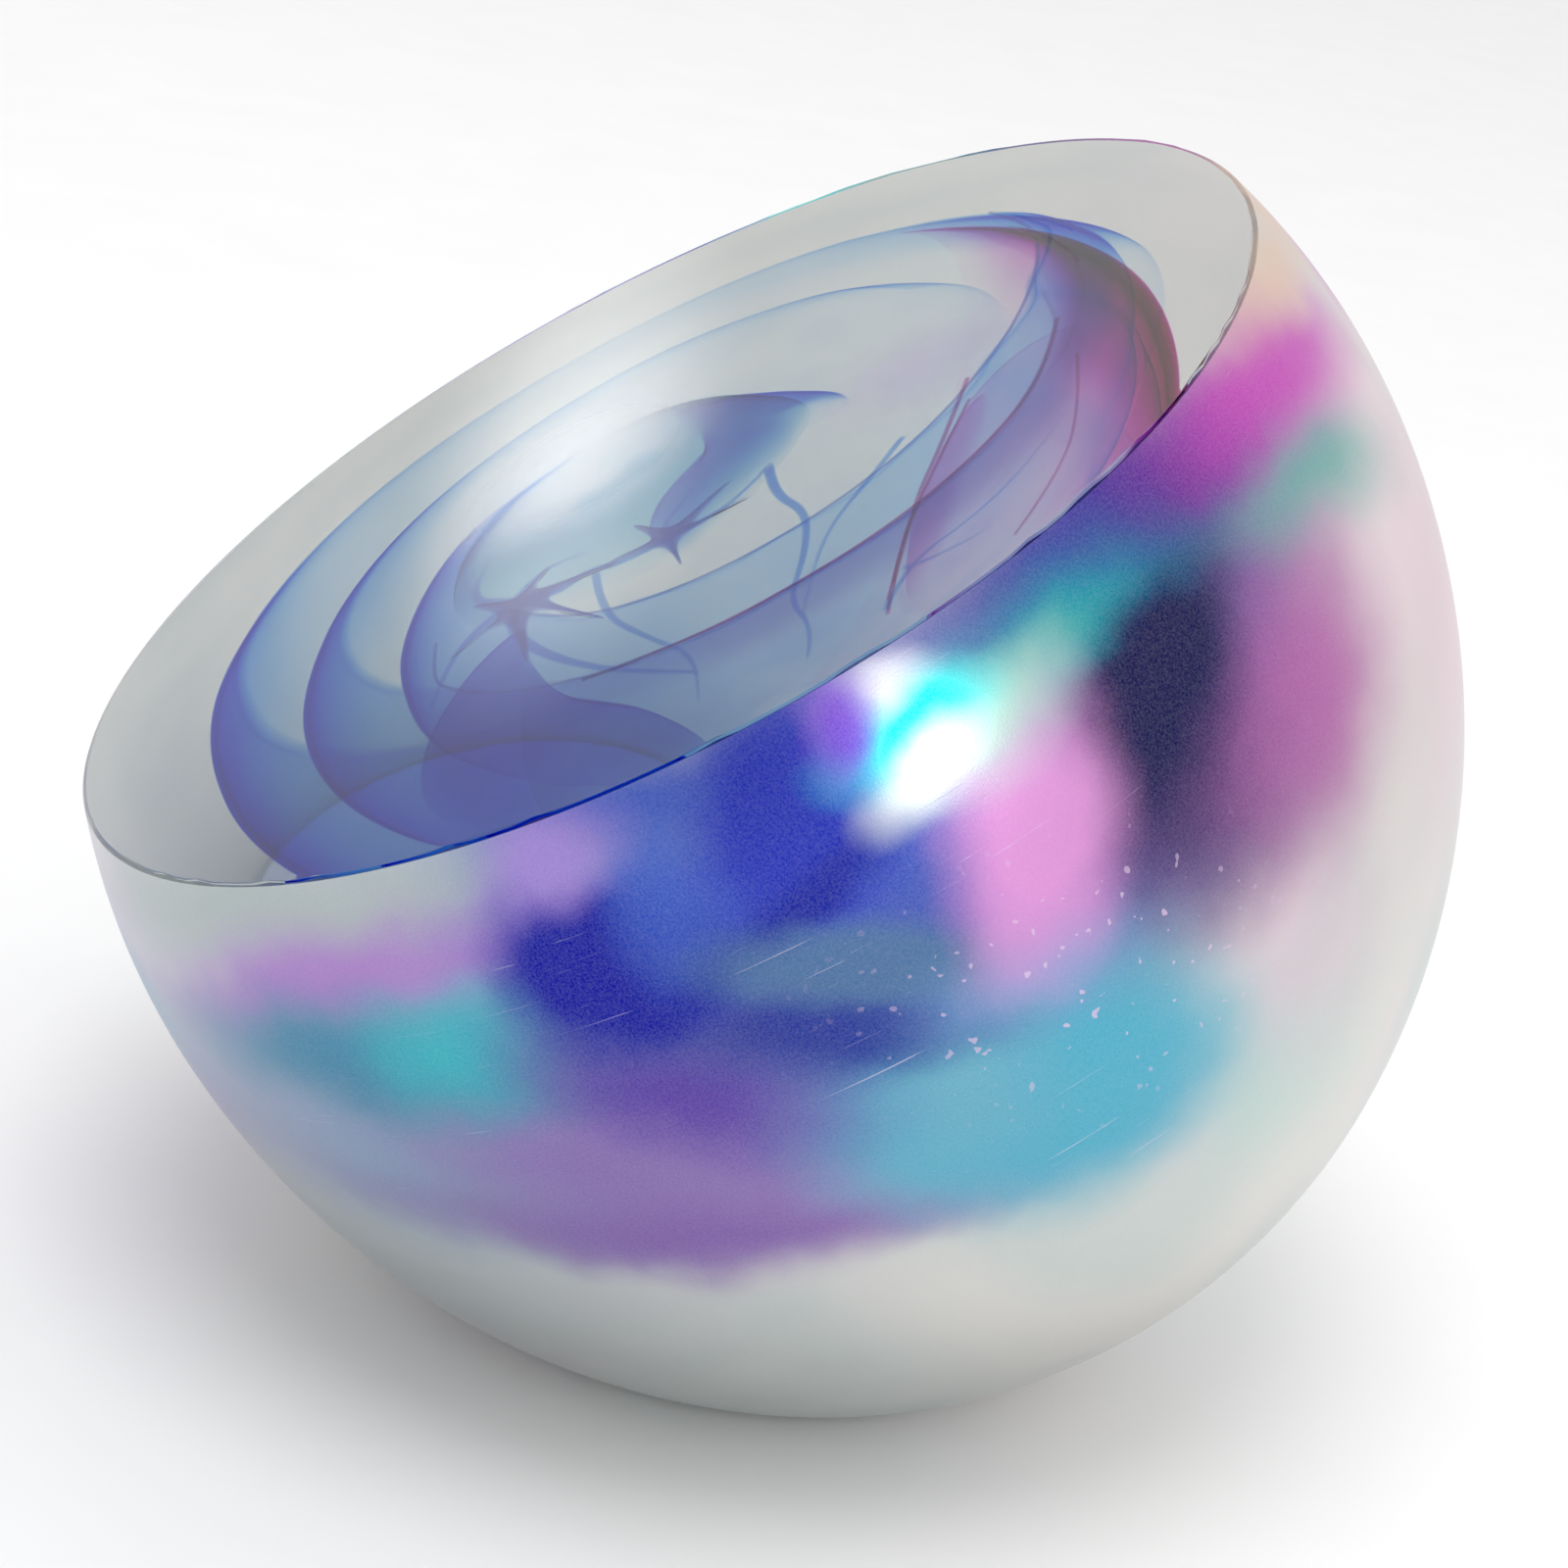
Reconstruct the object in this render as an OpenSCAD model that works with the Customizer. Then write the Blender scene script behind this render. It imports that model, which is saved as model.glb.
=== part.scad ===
// Studio glass paperweight: an egg of clear glass gathered in layers over
// coloured veils, with a satin lustre skin, a flat facet cut square to the
// making axis and a flat base ground at a slant to it, so the facet tips forward.
// The origin is the centre of the base. +Z is up, and the facet faces -Y and up.

/* [Body] */
// Diameter of the glass across the making axis
body_d = 76; // [60:1:100]
// Depth of the rounded bottom's middle below the equator, which makes the glass an egg
egg_drop = 7.5; // [5:0.5:10]
// Thickness of the satin lustre skin
skin_t = 0.3; // [0.2:0.05:0.6]

/* [Facet] */
// Height of the polished facet above the equator, along the making axis
facet_h = 14.5; // [12.5:0.5:17.5]
// Slope of the facet from level, which is also the lean of the making axis
facet_slope = 36; // [25:1:44]
// Width of the small arris ground round the facet
arris = 0.35; // [0.2:0.05:0.8]

/* [Base] */
// Depth of glass ground off the bottom to make the base
ground_depth = 3.8; // [2:0.1:5]
// Width of the bevel ground round the base
base_bevel = 0.8; // [0.4:0.1:1.5]

/* [Veils] */
// Clear glass over the outer veil, in percent of the glass's radius
casing_share = 22; // [18:1:26]
// Clear glass between the outer and middle veils, in percent of the glass's radius
second_share = 14; // [11:1:17]
// Clear glass between the middle and inner veils, in percent of the glass's radius
third_share = 11; // [9:1:14]
// Radius of the aqua heart, in percent of the inner veil's
heart_share = 58; // [45:1:75]
// Depth of the inner veil's top below the facet
inner_cover = 0.8; // [0.5:0.1:2]
// Thickness of clear glass between the inner veil's top and the heart's
heart_cover = 1.2; // [0.6:0.1:1.8]
// Thickness of the coloured veils
veil_t = 0.5; // [0.3:0.05:0.8]

/* [Threads] */
// Diameter of the folded blue threads
blue_thread_d = 0.9; // [0.5:0.1:1.2]
// Diameter of the folded rose threads
rose_thread_d = 0.8; // [0.5:0.1:1.2]
// Number of blue threads round the inner veil
blue_count = 4; // [2:1:5]
// Number of rose threads in the second gather
rose_count = 3; // [1:1:4]

/* [Hidden] */

body_r = body_d / 2;
reach = 4 * body_r;              // far outside the glass
pole_steps = 10;                 // straight steps in the outline's bottom arc
side_steps = 12;                 // and in each of the other two
$fn = 128;

// The egg's outline is three arcs that meet smoothly: one above the equator,
// one down the flank and one of a ball round the bottom pole.
top_arc = 1.05 * body_r;
pole_arc = 0.92 * body_r;
flank_arc = (pow(body_r, 2) + pow(egg_drop, 2) - pow(pole_arc, 2)) / (2 * (body_r - pole_arc));
flank_end = -atan2(egg_drop, flank_arc - body_r);

// How far each layer lies in from the outside of the glass.
casing_in = body_r * casing_share / 100;
outer_in = casing_in + veil_t;
middle_out = outer_in + body_r * second_share / 100;
middle_in = middle_out + veil_t;
third_t = body_r * third_share / 100;

// The inner veil and the heart are balls that rise to just under the facet.
inner_r = pole_arc - middle_in - third_t;
heart_r = inner_r * heart_share / 100;
inner_drop = inner_r + inner_cover - facet_h;
heart_drop = inner_drop - (inner_r - veil_t - heart_cover - heart_r);

// The base cuts the bottom ball, so its middle stays under the ball's centre.
base_r = sqrt(pow(pole_arc, 2) - pow(pole_arc - ground_depth, 2));
bevel_slope = acos((pole_arc - ground_depth) / pole_arc) / 2;
centre_y = -egg_drop * sin(facet_slope);
centre_h = pole_arc - ground_depth + egg_drop * cos(facet_slope);

// Radius at a height above the equator, on the egg shrunk evenly by an inset.
function radius_at(inset, z) =
    let (arc = z > 0 ? top_arc : flank_arc)
    body_r - arc + sqrt(pow(arc - inset, 2) - pow(z, 2));

facet_r = radius_at(0, facet_h);

// Points along an arc, without its first.
function arc(x, z, r, from, to, n) = [for (i = [1:n])
    let (t = from + (to - from) * i / n) [x + r * cos(t), z + r * sin(t)]];

// Angle at which the top arc reaches the making axis, and its height there.
function top_turn(inset) = acos((top_arc - body_r) / (top_arc - inset));
function top_height(inset) = (top_arc - inset) * sin(top_turn(inset));

// Turns of the coloured sectors about the making axis: [start, sweep].
outer_blue = [150, 165];
outer_violet = [315, 40];
outer_rose = [355, 155];
middle_blue = [160, 210];
middle_lilac = [10, 150];
inner_blue = [130, 235];
inner_plum = [5, 125];
heart_aqua = [20, 280];
heart_navy = [300, 80];

// Half section of the egg, shrunk evenly by an inset.
module half_egg(inset) {
    top_step = top_turn(inset) * (1 - 1 / (2 * side_steps));
    polygon(concat(
        [[0, -egg_drop - pole_arc + inset]],
        arc(0, -egg_drop, pole_arc - inset, -90, flank_end, pole_steps),
        arc(body_r - flank_arc, 0, flank_arc - inset, flank_end, 0, side_steps),
        arc(body_r - top_arc, 0, top_arc - inset, 0, top_step, 2 * side_steps - 1),
        [[0, top_height(inset)]]));
}

module half_ball(r, drop) {
    intersection() {
        translate([0, -drop]) circle(r = r);
        translate([0, -reach]) square([reach, 2 * reach]);
    }
}

// Everything below the facet and inside its arris.
module under_facet() {
    polygon([[0, -reach], [reach, -reach], [reach, facet_h - arris - (reach - facet_r)],
        [facet_r - arris, facet_h], [0, facet_h]]);
}

// Half section of the glass between two insets, cut off at the facet.
module layer(outside, inside) {
    intersection() {
        difference() {
            half_egg(outside);
            half_egg(inside);
        }
        under_facet();
    }
}

module shell(r, drop) {
    difference() {
        half_ball(r, drop);
        half_ball(r - veil_t, drop);
    }
}

module sector(turn) {
    rotate([0, 0, turn[0]]) rotate_extrude(angle = turn[1]) children();
}

// Sets a piece made along the making axis onto its slanted base.
module lean() {
    translate([0, centre_y, centre_h]) rotate([facet_slope, 0, 0]) children();
}

// Grinds the base flat, with its bevel.
module ground() {
    intersection() {
        children();
        cylinder(h = reach, r1 = base_r - base_bevel,
            r2 = base_r - base_bevel + reach / tan(bevel_slope));
    }
}

// Place of a blue thread midway through the third gather: [radius, height] and [start, sweep].
function blue_spot(i) = let (rise = 42 - 24 * i, out = inner_r + third_t / 2)
    [out * cos(rise), out * sin(rise) - inner_drop];
function blue_turn(i) = [35 + 80 * i, 130 - 15 * i];

// Place of a rose thread, midway through the second gather.
function rose_spot(i) = let (z = 7 - 7 * i) [radius_at((outer_in + middle_out) / 2, z), z];
function rose_turn(i) = [320 + 25 * i, 95];

module blue_strands() {
    for (i = [0:blue_count - 1])
        sector(blue_turn(i)) translate(blue_spot(i)) circle(d = blue_thread_d);
}

module rose_strands() {
    for (i = [0:rose_count - 1])
        sector(rose_turn(i)) translate(rose_spot(i)) circle(d = rose_thread_d);
}

module lustre_skin() {
    color([0.72, 0.62, 0.86]) ground() lean() rotate_extrude() layer(0, skin_t);
}

module outer_casing() {
    color([0.86, 0.88, 0.87]) ground() lean() rotate_extrude() layer(skin_t, casing_in);
}

module outer_veil_blue() {
    color([0.22, 0.33, 0.72]) lean() sector(outer_blue) layer(casing_in, outer_in);
}

module outer_veil_rose() {
    color([0.72, 0.30, 0.50]) lean() sector(outer_rose) layer(casing_in, outer_in);
}

module outer_veil_violet() {
    color([0.42, 0.25, 0.62]) lean() sector(outer_violet) layer(casing_in, outer_in);
}

module second_gather() {
    color([0.86, 0.88, 0.87]) lean() difference() {
        rotate_extrude() layer(outer_in, middle_out);
        rose_strands();
    }
}

module middle_veil_blue() {
    color([0.28, 0.42, 0.78]) lean() sector(middle_blue) layer(middle_out, middle_in);
}

module middle_veil_lilac() {
    color([0.62, 0.55, 0.82]) lean() sector(middle_lilac) layer(middle_out, middle_in);
}

// Clear glass between the middle veil and the inner one, holding the blue threads.
module third_gather() {
    color([0.86, 0.88, 0.87]) lean() difference() {
        rotate_extrude() difference() {
            layer(middle_in, body_r);
            half_ball(inner_r, inner_drop);
        }
        blue_strands();
    }
}

module inner_veil_blue() {
    color([0.25, 0.38, 0.75]) lean() sector(inner_blue) shell(inner_r, inner_drop);
}

module inner_veil_plum() {
    color([0.40, 0.18, 0.38]) lean() sector(inner_plum) shell(inner_r, inner_drop);
}

module fourth_gather() {
    color([0.88, 0.92, 0.94]) lean() rotate_extrude() difference() {
        half_ball(inner_r - veil_t, inner_drop);
        half_ball(heart_r, heart_drop);
    }
}

module heart_veil_aqua() {
    color([0.35, 0.65, 0.75]) lean() sector(heart_aqua) shell(heart_r, heart_drop);
}

module heart_veil_navy() {
    color([0.12, 0.16, 0.48]) lean() sector(heart_navy) shell(heart_r, heart_drop);
}

module heart_glass() {
    color([0.90, 0.95, 0.96]) lean() rotate_extrude() half_ball(heart_r - veil_t, heart_drop);
}

module blue_threads() {
    color([0.15, 0.2, 0.6]) lean() blue_strands();
}

module rose_threads() {
    color([0.6, 0.2, 0.42]) lean() rose_strands();
}

lustre_skin();
outer_casing();
outer_veil_blue();
outer_veil_rose();
outer_veil_violet();
second_gather();
middle_veil_blue();
middle_veil_lilac();
third_gather();
inner_veil_blue();
inner_veil_plum();
fourth_gather();
heart_veil_aqua();
heart_veil_navy();
heart_glass();
blue_threads();
rose_threads();
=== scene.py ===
"""Studio glass paperweight: an egg of clear glass with a satin lustre skin, a sloping facet
to look in through, and coloured veils rolled round its making axis."""

import math

import bmesh
import bpy
from mathutils import Matrix, Vector, noise


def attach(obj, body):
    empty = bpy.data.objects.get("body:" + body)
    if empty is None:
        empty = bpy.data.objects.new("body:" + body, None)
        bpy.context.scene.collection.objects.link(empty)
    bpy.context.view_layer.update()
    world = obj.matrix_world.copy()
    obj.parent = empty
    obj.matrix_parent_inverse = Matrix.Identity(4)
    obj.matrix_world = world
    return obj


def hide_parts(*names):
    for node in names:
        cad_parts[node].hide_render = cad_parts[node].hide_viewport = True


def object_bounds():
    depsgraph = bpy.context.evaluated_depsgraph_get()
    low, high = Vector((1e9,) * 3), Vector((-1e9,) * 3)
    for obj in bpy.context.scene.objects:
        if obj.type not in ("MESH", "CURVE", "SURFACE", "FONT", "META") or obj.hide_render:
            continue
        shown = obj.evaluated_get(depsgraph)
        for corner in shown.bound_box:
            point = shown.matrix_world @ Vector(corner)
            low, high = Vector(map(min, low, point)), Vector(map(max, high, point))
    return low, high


bl_info = {
    "name": "Glass paperweight",
    "version": (1, 0, 0),
    "blender": (4, 5, 0),
    "location": "3D View > Sidebar > Paperweight",
    "description": "Builds a studio glass paperweight with rolled coloured veils",
    "category": "Object",
}

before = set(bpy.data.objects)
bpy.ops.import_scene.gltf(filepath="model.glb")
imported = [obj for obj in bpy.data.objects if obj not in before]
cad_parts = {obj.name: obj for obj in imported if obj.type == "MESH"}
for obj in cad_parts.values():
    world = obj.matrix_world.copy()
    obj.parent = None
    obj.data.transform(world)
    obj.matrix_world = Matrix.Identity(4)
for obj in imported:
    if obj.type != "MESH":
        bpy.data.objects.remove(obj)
CAD_LOW, CAD_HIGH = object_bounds()

MM = 0.001
BODY_RADIUS = (CAD_HIGH.x - CAD_LOW.x) / 2 / MM


# --------------------------------------------------------------------------------------
# Sizes and colours that a user would change
# --------------------------------------------------------------------------------------


class GlassSizes(bpy.types.PropertyGroup):
    """Sizes of the glass, in millimetres unless they say otherwise."""

    radius: bpy.props.FloatProperty(
        name="Radius", description="Radius across the making axis, in mm", default=BODY_RADIUS, min=20, max=60
    )
    egg_drop: bpy.props.FloatProperty(
        name="Egg drop", description="How far the round bottom's middle lies below the equator, in mm", default=7.5
    )
    facet_height: bpy.props.FloatProperty(
        name="Facet height", description="Height of the facet above the equator, in mm", default=14.5
    )
    facet_slope: bpy.props.FloatProperty(
        name="Facet slope", description="Slope of the facet from level", default=math.radians(36), subtype="ANGLE"
    )
    ground_depth: bpy.props.FloatProperty(
        name="Ground depth", description="Glass ground off the bottom, in mm", default=3.8
    )
    skin: bpy.props.FloatProperty(name="Skin", description="Thickness of the lustre skin, in mm", default=0.3)
    arris: bpy.props.FloatProperty(name="Arris", description="Width of the facet's arris, in mm", default=0.35)
    base_bevel: bpy.props.FloatProperty(
        name="Base bevel", description="Width of the base's bevel, in mm", default=0.8
    )


def colour_property(name, description, rgb):
    return bpy.props.FloatVectorProperty(
        name=name, description=description, default=linear(rgb), subtype="COLOR", size=3, min=0, max=1
    )


def linear(rgb):
    """A screen colour from 0 to 255 as the linear colour that shaders take."""
    return tuple((c / 255 / 12.92) if c <= 10 else ((c / 255 + 0.055) / 1.055) ** 2.4 for c in rgb)


class GlassColours(bpy.types.PropertyGroup):
    """Colours of the lustre and of the light that each veil lets through."""

    pearl: colour_property("Pearl", "Lustre where the glass behind is clear", (218, 216, 212))
    pearl_inside: colour_property("Pearl inside", "The lustre seen from within the glass", (232, 232, 222))
    blue: colour_property("Blue veil", "Light let through by a millimetre of blue glass", (112, 178, 248))
    rose: colour_property("Rose veil", "Light let through by a millimetre of rose glass", (238, 148, 224))
    plum: colour_property("Plum veil", "Light let through by a millimetre of plum glass", (138, 76, 178))
    navy: colour_property("Navy veil", "Light let through by a millimetre of navy glass", (70, 140, 240))
    # The lilac and milk sheets let all light through; their colour goes into painted highlight, the glow that they
    # scatter under the facet.
    lilac: colour_property("Painted lilac glow", "Light let through by a millimetre of lilac glass", (255, 255, 255))
    milk: colour_property("Painted white glow", "Light let through by a millimetre of milky glass", (255, 255, 255))
    ink: colour_property("Blue thread", "Light let through by a millimetre of a blue thread", (44, 72, 190))
    garnet: colour_property("Rose thread", "Light let through by a millimetre of a rose thread", (172, 40, 120))
    aqua: colour_property("Aqua veil", "Light let through by a millimetre of aqua glass", (112, 190, 222))


def sizes():
    return bpy.context.scene.glass_sizes


def colours():
    return bpy.context.scene.glass_colours


# --------------------------------------------------------------------------------------
# The egg's shape. The making axis is +Z here, the equator is at height 0, and lengths
# are in mm. lean() sets a finished mesh onto its base.
# --------------------------------------------------------------------------------------


def arcs():
    """Radii of the top, flank and bottom arcs, and the slope at which flank meets bottom."""
    s = sizes()
    r, drop = s.radius, s.egg_drop
    top, pole = 1.05 * r, 0.92 * r
    flank = (r * r + drop * drop - pole * pole) / (2 * (r - pole))
    return top, flank, pole, -math.atan2(drop, flank - r)


def egg_point(inset, slope):
    """Radius and height where the egg, shrunk evenly by inset, has this outward slope."""
    s = sizes()
    top, flank, pole, joint = arcs()
    if slope > 0:
        x, z, arc = s.radius - top, 0, top
    elif slope > joint:
        x, z, arc = s.radius - flank, 0, flank
    else:
        x, z, arc = 0, -s.egg_drop, pole
    return max(0, x + (arc - inset) * math.cos(slope)), z + (arc - inset) * math.sin(slope)


def facet_turn(inset, depth=0.0):
    """Slope at which the shrunk egg meets a level this far under the facet."""
    top = arcs()[0]
    return math.asin(min(1, (sizes().facet_height - depth) / (top - inset)))


def inset_at_facet(radius):
    """Inset of the egg that the facet cuts at this radius."""
    top = arcs()[0]
    return top - math.hypot(radius - (sizes().radius - top), sizes().facet_height)


def centre():
    """Middle of the egg's equator in the row frame, in mm."""
    s = sizes()
    pole = arcs()[2]
    return Vector(
        (
            0,
            -s.egg_drop * math.sin(s.facet_slope),
            pole - s.ground_depth + s.egg_drop * math.cos(s.facet_slope),
        )
    )


def lean():
    """From the making axis, in mm, to the row frame, in metres."""
    return Matrix.Scale(MM, 4) @ Matrix.Translation(centre()) @ Matrix.Rotation(sizes().facet_slope, 4, "X")


ARRIS_FALL = 0.62  # an arris falls this much for its width
BEVEL_FALL = 0.24

# --------------------------------------------------------------------------------------
# Small modelling helpers
# --------------------------------------------------------------------------------------


def deselect():
    if bpy.context.object and bpy.context.object.mode != "OBJECT":
        bpy.ops.object.mode_set(mode="OBJECT")
    bpy.ops.object.select_all(action="DESELECT")


def add_egg(name, inset, segments=192, rings=120):
    """A ball primitive drawn out into the egg at this inset."""
    deselect()
    bpy.ops.mesh.primitive_uv_sphere_add(segments=segments, ring_count=rings, radius=1)
    ob = bpy.context.object
    ob.name = ob.data.name = name
    for v in ob.data.vertices:
        out = math.hypot(v.co.x, v.co.y)
        r, z = egg_point(inset, math.atan2(v.co.z, out))
        if out > 1e-6:
            v.co = (v.co.x / out * r, v.co.y / out * r, z)
        else:
            v.co = (0, 0, z)
    return ob


def saw(ob, point, normal, fill):
    """Cuts away what lies beyond a plane, as a saw and wheel would."""
    deselect()
    bpy.context.view_layer.objects.active = ob
    ob.select_set(True)
    bpy.ops.object.mode_set(mode="EDIT")
    bpy.ops.mesh.select_all(action="SELECT")
    bpy.ops.mesh.bisect(plane_co=point, plane_no=normal, use_fill=fill, clear_outer=True)
    bpy.ops.mesh.select_all(action="SELECT")
    bpy.ops.mesh.remove_doubles(threshold=0.12)
    bpy.ops.object.mode_set(mode="OBJECT")


def base_plane():
    """A point on the base and the direction out of it, from the making axis."""
    turn = Matrix.Rotation(sizes().facet_slope, 3, "X").inverted()
    return turn @ (Vector((0, 0, 0)) - centre()), turn @ Vector((0, 0, -1))


def ease(ob, out, width, depth):
    """Insets a freshly sawn face and draws it out, which leaves a narrow arris round it."""
    for f in ob.data.polygons:
        f.select = False
    sawn = max((f for f in ob.data.polygons if f.normal.dot(out) > 0.99), key=lambda f: f.area)
    sawn.select = True
    deselect()
    bpy.context.view_layer.objects.active = ob
    ob.select_set(True)
    bpy.ops.object.mode_set(mode="EDIT")
    bpy.ops.mesh.select_mode(type="FACE")
    bpy.ops.mesh.inset(thickness=width, depth=depth, use_even_offset=True)
    bpy.ops.object.mode_set(mode="OBJECT")


def finish_piece(ob, nodes, angle=30):
    """Sets a piece onto its base, smooths it and hands it to the frame."""
    ob.data.transform(lean())
    deselect()
    bpy.context.view_layer.objects.active = ob
    ob.select_set(True)
    bpy.ops.object.shade_smooth_by_angle(angle=math.radians(angle))
    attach(ob, "root")
    if nodes:
        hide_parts(*nodes)
    return ob


# --------------------------------------------------------------------------------------
# Node helpers and the patterns that several materials share
# --------------------------------------------------------------------------------------


class Nodes:
    """Adds and joins the nodes of one tree."""

    def __init__(self, tree):
        self.tree = tree
        self.count = 0

    def add(self, kind, inputs=None, **settings):
        node = self.tree.nodes.new(kind)
        node.location = (self.count % 12 * 190, -(self.count // 12) * 260)
        self.count += 1
        for key, value in settings.items():
            setattr(node, key, value)
        for key, value in (inputs or {}).items():
            self.put(node.inputs[key], value)
        return node

    def put(self, socket, value):
        if isinstance(value, bpy.types.NodeSocket):
            self.tree.links.new(value, socket)
        elif isinstance(value, bpy.types.Node):
            self.tree.links.new(value.outputs[0], socket)
        else:
            if socket.type == "RGBA" and len(value) == 3:
                value = (*value, 1)
            socket.default_value = value

    def math(self, operation, a, b=0.0, clamp=False):
        return self.add("ShaderNodeMath", {0: a, 1: b}, operation=operation, use_clamp=clamp).outputs[0]

    def mix(self, factor, a, b, blend="MIX"):
        node = self.add("ShaderNodeMix", data_type="RGBA", blend_type=blend)
        self.put(node.inputs["Factor"], factor)
        self.put(node.inputs[6], a)
        self.put(node.inputs[7], b)
        return node.outputs[2]

    def ramp(self, value, low, high, smooth=True, to_low=0.0, to_high=1.0):
        return self.add(
            "ShaderNodeMapRange",
            {"Value": value, "From Min": low, "From Max": high, "To Min": to_low, "To Max": to_high},
            interpolation_type="SMOOTHSTEP" if smooth else "LINEAR",
        ).outputs[0]

    def noise(self, vector, scale, detail=2.0, rough=0.5, distortion=0.0):
        return self.add(
            "ShaderNodeTexNoise",
            {"Vector": vector, "Scale": scale, "Detail": detail, "Roughness": rough, "Distortion": distortion},
        )


def new_group(name, sockets):
    """An empty shader group with its sockets. A socket is (name, type, direction)."""
    tree = bpy.data.node_groups.new(name, "ShaderNodeTree")
    for socket, kind, way in sockets:
        tree.interface.new_socket(socket, in_out=way, socket_type=kind)
    n = Nodes(tree)
    return n, n.add("NodeGroupInput"), n.add("NodeGroupOutput")


def group_node(n, name, inputs=None):
    node = n.add("ShaderNodeGroup", node_tree=bpy.data.node_groups[name])
    for key, value in (inputs or {}).items():
        n.put(node.inputs[key], value)
    return node


def build_groups():
    """Patterns shared by the materials."""
    # Object coordinates turned to the making axis, in mm.
    n, _, end = new_group("Making axis", [("Place", "NodeSocketVector", "OUTPUT")])
    place = n.add("ShaderNodeTexCoord")
    turned = n.add("ShaderNodeMapping", vector_type="TEXTURE")
    n.put(turned.inputs["Vector"], place.outputs["Object"])
    turned.inputs["Location"].default_value = centre() * MM
    turned.inputs["Rotation"].default_value = (sizes().facet_slope, 0, 0)
    turned.inputs["Scale"].default_value = (MM, MM, MM)
    n.put(end.inputs[0], turned.outputs[0])

    # A soft oval patch lying on the glass.
    n, begin, end = new_group(
        "Lustre patch",
        [
            ("Place", "NodeSocketVector", "INPUT"),
            ("Middle", "NodeSocketVector", "INPUT"),
            ("Turn", "NodeSocketVector", "INPUT"),
            ("Reach", "NodeSocketVector", "INPUT"),
            ("Softness", "NodeSocketFloat", "INPUT"),
            ("Mask", "NodeSocketFloat", "OUTPUT"),
        ],
    )
    local = n.add("ShaderNodeMapping", vector_type="TEXTURE")
    for socket, source in (("Vector", "Place"), ("Location", "Middle"), ("Rotation", "Turn"), ("Scale", "Reach")):
        n.put(local.inputs[socket], begin.outputs[source])
    away = n.add("ShaderNodeVectorMath", {0: local.outputs[0]}, operation="LENGTH").outputs["Value"]
    inner = n.math("SUBTRACT", 1.0, begin.outputs["Softness"])
    outer = n.math("ADD", 1.0, begin.outputs["Softness"])
    n.put(end.inputs[0], n.ramp(away, outer, inner))

    # Fine scratches round the glass, left by handling, as a height.
    n, begin, end = new_group(
        "Handling scratches", [("Place", "NodeSocketVector", "INPUT"), ("Height", "NodeSocketFloat", "OUTPUT")]
    )
    stretched = n.add("ShaderNodeMapping", vector_type="POINT")
    n.put(stretched.inputs["Vector"], begin.outputs["Place"])
    stretched.inputs["Scale"].default_value = (0.05, 0.05, 3.2)
    lines = n.noise(stretched.outputs[0], 2.2, 3, 0.55)
    thin = n.ramp(lines.outputs[0], 0.68, 0.73)
    where = n.noise(begin.outputs["Place"], 0.09, 2)
    n.put(end.inputs[0], n.math("MULTIPLY", thin, n.ramp(where.outputs[0], 0.53, 0.63)))


def new_material(name):
    mat = bpy.data.materials.new(name)
    mat.use_nodes = True
    mat.node_tree.nodes.clear()
    n = Nodes(mat.node_tree)
    return mat, n, n.add("ShaderNodeOutputMaterial")


# --------------------------------------------------------------------------------------
# The lustre's colours, with some painted highlight and painted shade among them. A patch
# is its turn round the making axis and its height, its half length and half width, its
# tilt, how soft its edge is, how strong it is, and its colour.
# --------------------------------------------------------------------------------------

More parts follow.
